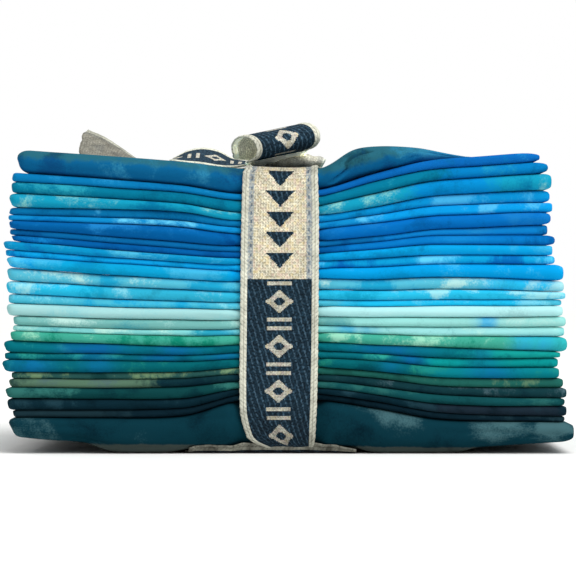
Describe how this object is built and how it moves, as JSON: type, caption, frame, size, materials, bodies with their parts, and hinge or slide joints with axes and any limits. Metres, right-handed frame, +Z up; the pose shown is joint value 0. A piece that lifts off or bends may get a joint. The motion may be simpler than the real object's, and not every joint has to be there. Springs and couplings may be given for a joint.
{
  "type": "fat quarter bundle",
  "caption": "Stack of folded fat quarters of dyed cotton in blues and greens, drawn in at the middle by a woven ribbon that is tied in a bow on top.",
  "frame": {"origin": "middle of the bundle's bounding box, on the surface it lies on", "axes": "+X along the folds to the right, +Y from the front folds to the back, +Z up through the stack"},
  "size_m": [0.2298, 0.1422, 0.1375],
  "materials": {
    "quarter_01": "matte woven cotton",
    "quarter_02": "matte woven cotton",
    "quarter_03": "matte woven cotton",
    "quarter_04": "matte woven cotton",
    "quarter_05": "matte woven cotton",
    "quarter_06": "matte woven cotton",
    "quarter_07": "matte woven cotton",
    "quarter_08": "matte woven cotton",
    "quarter_09": "matte woven cotton",
    "quarter_10": "matte woven cotton",
    "quarter_11": "matte woven cotton",
    "quarter_12": "matte woven cotton",
    "quarter_13": "matte woven cotton",
    "quarter_14": "matte woven cotton",
    "quarter_15": "matte woven cotton",
    "quarter_16": "matte woven cotton",
    "quarter_17": "matte woven cotton",
    "quarter_18": "matte woven cotton",
    "quarter_19": "matte woven cotton",
    "quarter_20": "matte woven cotton",
    "quarter_21": "matte woven cotton",
    "quarter_22": "matte woven cotton",
    "quarter_23": "matte woven cotton",
    "quarter_24": "matte woven cotton",
    "quarter_25": "matte woven cotton",
    "quarter_26": "matte woven cotton",
    "quarter_27": "matte woven cotton",
    "quarter_28": "matte woven cotton",
    "ribbon": "matte woven tape"
  },
  "bodies": {
    "root": {"quarter_01": "quarter_01", "quarter_02": "quarter_02", "quarter_03": "quarter_03", "quarter_04": "quarter_04", "quarter_05": "quarter_05", "quarter_06": "quarter_06", "quarter_07": "quarter_07", "quarter_08": "quarter_08", "quarter_09": "quarter_09", "quarter_10": "quarter_10", "quarter_11": "quarter_11", "quarter_12": "quarter_12", "quarter_13": "quarter_13", "quarter_14": "quarter_14", "quarter_15": "quarter_15", "quarter_16": "quarter_16", "quarter_17": "quarter_17", "quarter_18": "quarter_18", "quarter_19": "quarter_19", "quarter_20": "quarter_20", "quarter_21": "quarter_21", "quarter_22": "quarter_22", "quarter_23": "quarter_23", "quarter_24": "quarter_24", "quarter_25": "quarter_25", "quarter_26": "quarter_26", "quarter_27": "quarter_27", "quarter_28": "quarter_28", "ribbon": "ribbon"}
  },
  "joints": []
}
